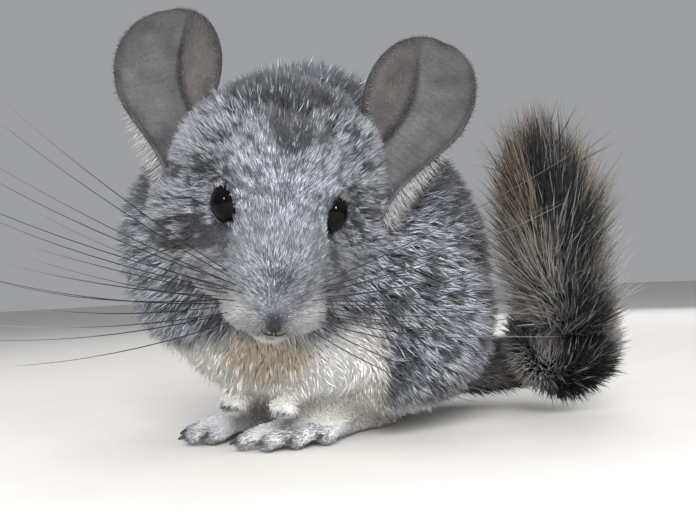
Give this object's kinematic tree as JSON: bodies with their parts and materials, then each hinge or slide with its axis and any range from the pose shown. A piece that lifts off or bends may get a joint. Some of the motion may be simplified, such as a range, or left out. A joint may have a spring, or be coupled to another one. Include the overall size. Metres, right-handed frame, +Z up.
{
  "type": "chinchilla model",
  "caption": "Life-size still model of a grey chinchilla sitting on its long hind feet, head turned to its left, with large cupped ears and a bushy tail curled up beside it.",
  "frame": {"origin": "On the floor under the rump, at the middle of the flat that the body sits on.", "axes": "+Z is up, -Y is the way the body faces, +X is the animal's left side."},
  "size_m": [0.1562, 0.2112, 0.1335],
  "materials": {
    "grey_coat": "dense soft grey fur with light tips",
    "dark_coat": "coarse black and grey brush hair",
    "white_coat": "soft white fur",
    "ear_skin": "thin grey-pink velvety skin",
    "foot_coat": "very short whitish fur",
    "eye": "wet black eye",
    "nose_skin": "fine damp dark skin",
    "claw": "dull horn"
  },
  "bodies": {
    "root": {"torso": "grey_coat", "chest": "grey_coat", "neck": "grey_coat", "head": "grey_coat", "nose": "nose_skin", "tail_base": "grey_coat", "tail_middle": "dark_coat", "tail_brush": "dark_coat", "whisker_pad_left": "white_coat", "ear_left": "ear_skin", "eye_left": "eye", "thigh_left": "grey_coat", "shank_left": "foot_coat", "hind_foot_left": "foot_coat", "foreleg_left": "white_coat", "forepaw_left": "foot_coat", "hind_claw_left_1": "claw", "fore_claw_left_1": "claw", "hind_claw_left_2": "claw", "fore_claw_left_2": "claw", "hind_claw_left_3": "claw", "fore_claw_left_3": "claw", "hind_claw_left_4": "claw", "fore_claw_left_4": "claw", "whisker_pad_right": "white_coat", "ear_right": "ear_skin", "eye_right": "eye", "thigh_right": "grey_coat", "shank_right": "foot_coat", "hind_foot_right": "foot_coat", "foreleg_right": "white_coat", "forepaw_right": "foot_coat", "hind_claw_right_1": "claw", "fore_claw_right_1": "claw", "hind_claw_right_2": "claw", "fore_claw_right_2": "claw", "hind_claw_right_3": "claw", "fore_claw_right_3": "claw", "hind_claw_right_4": "claw", "fore_claw_right_4": "claw"}
  },
  "joints": []
}
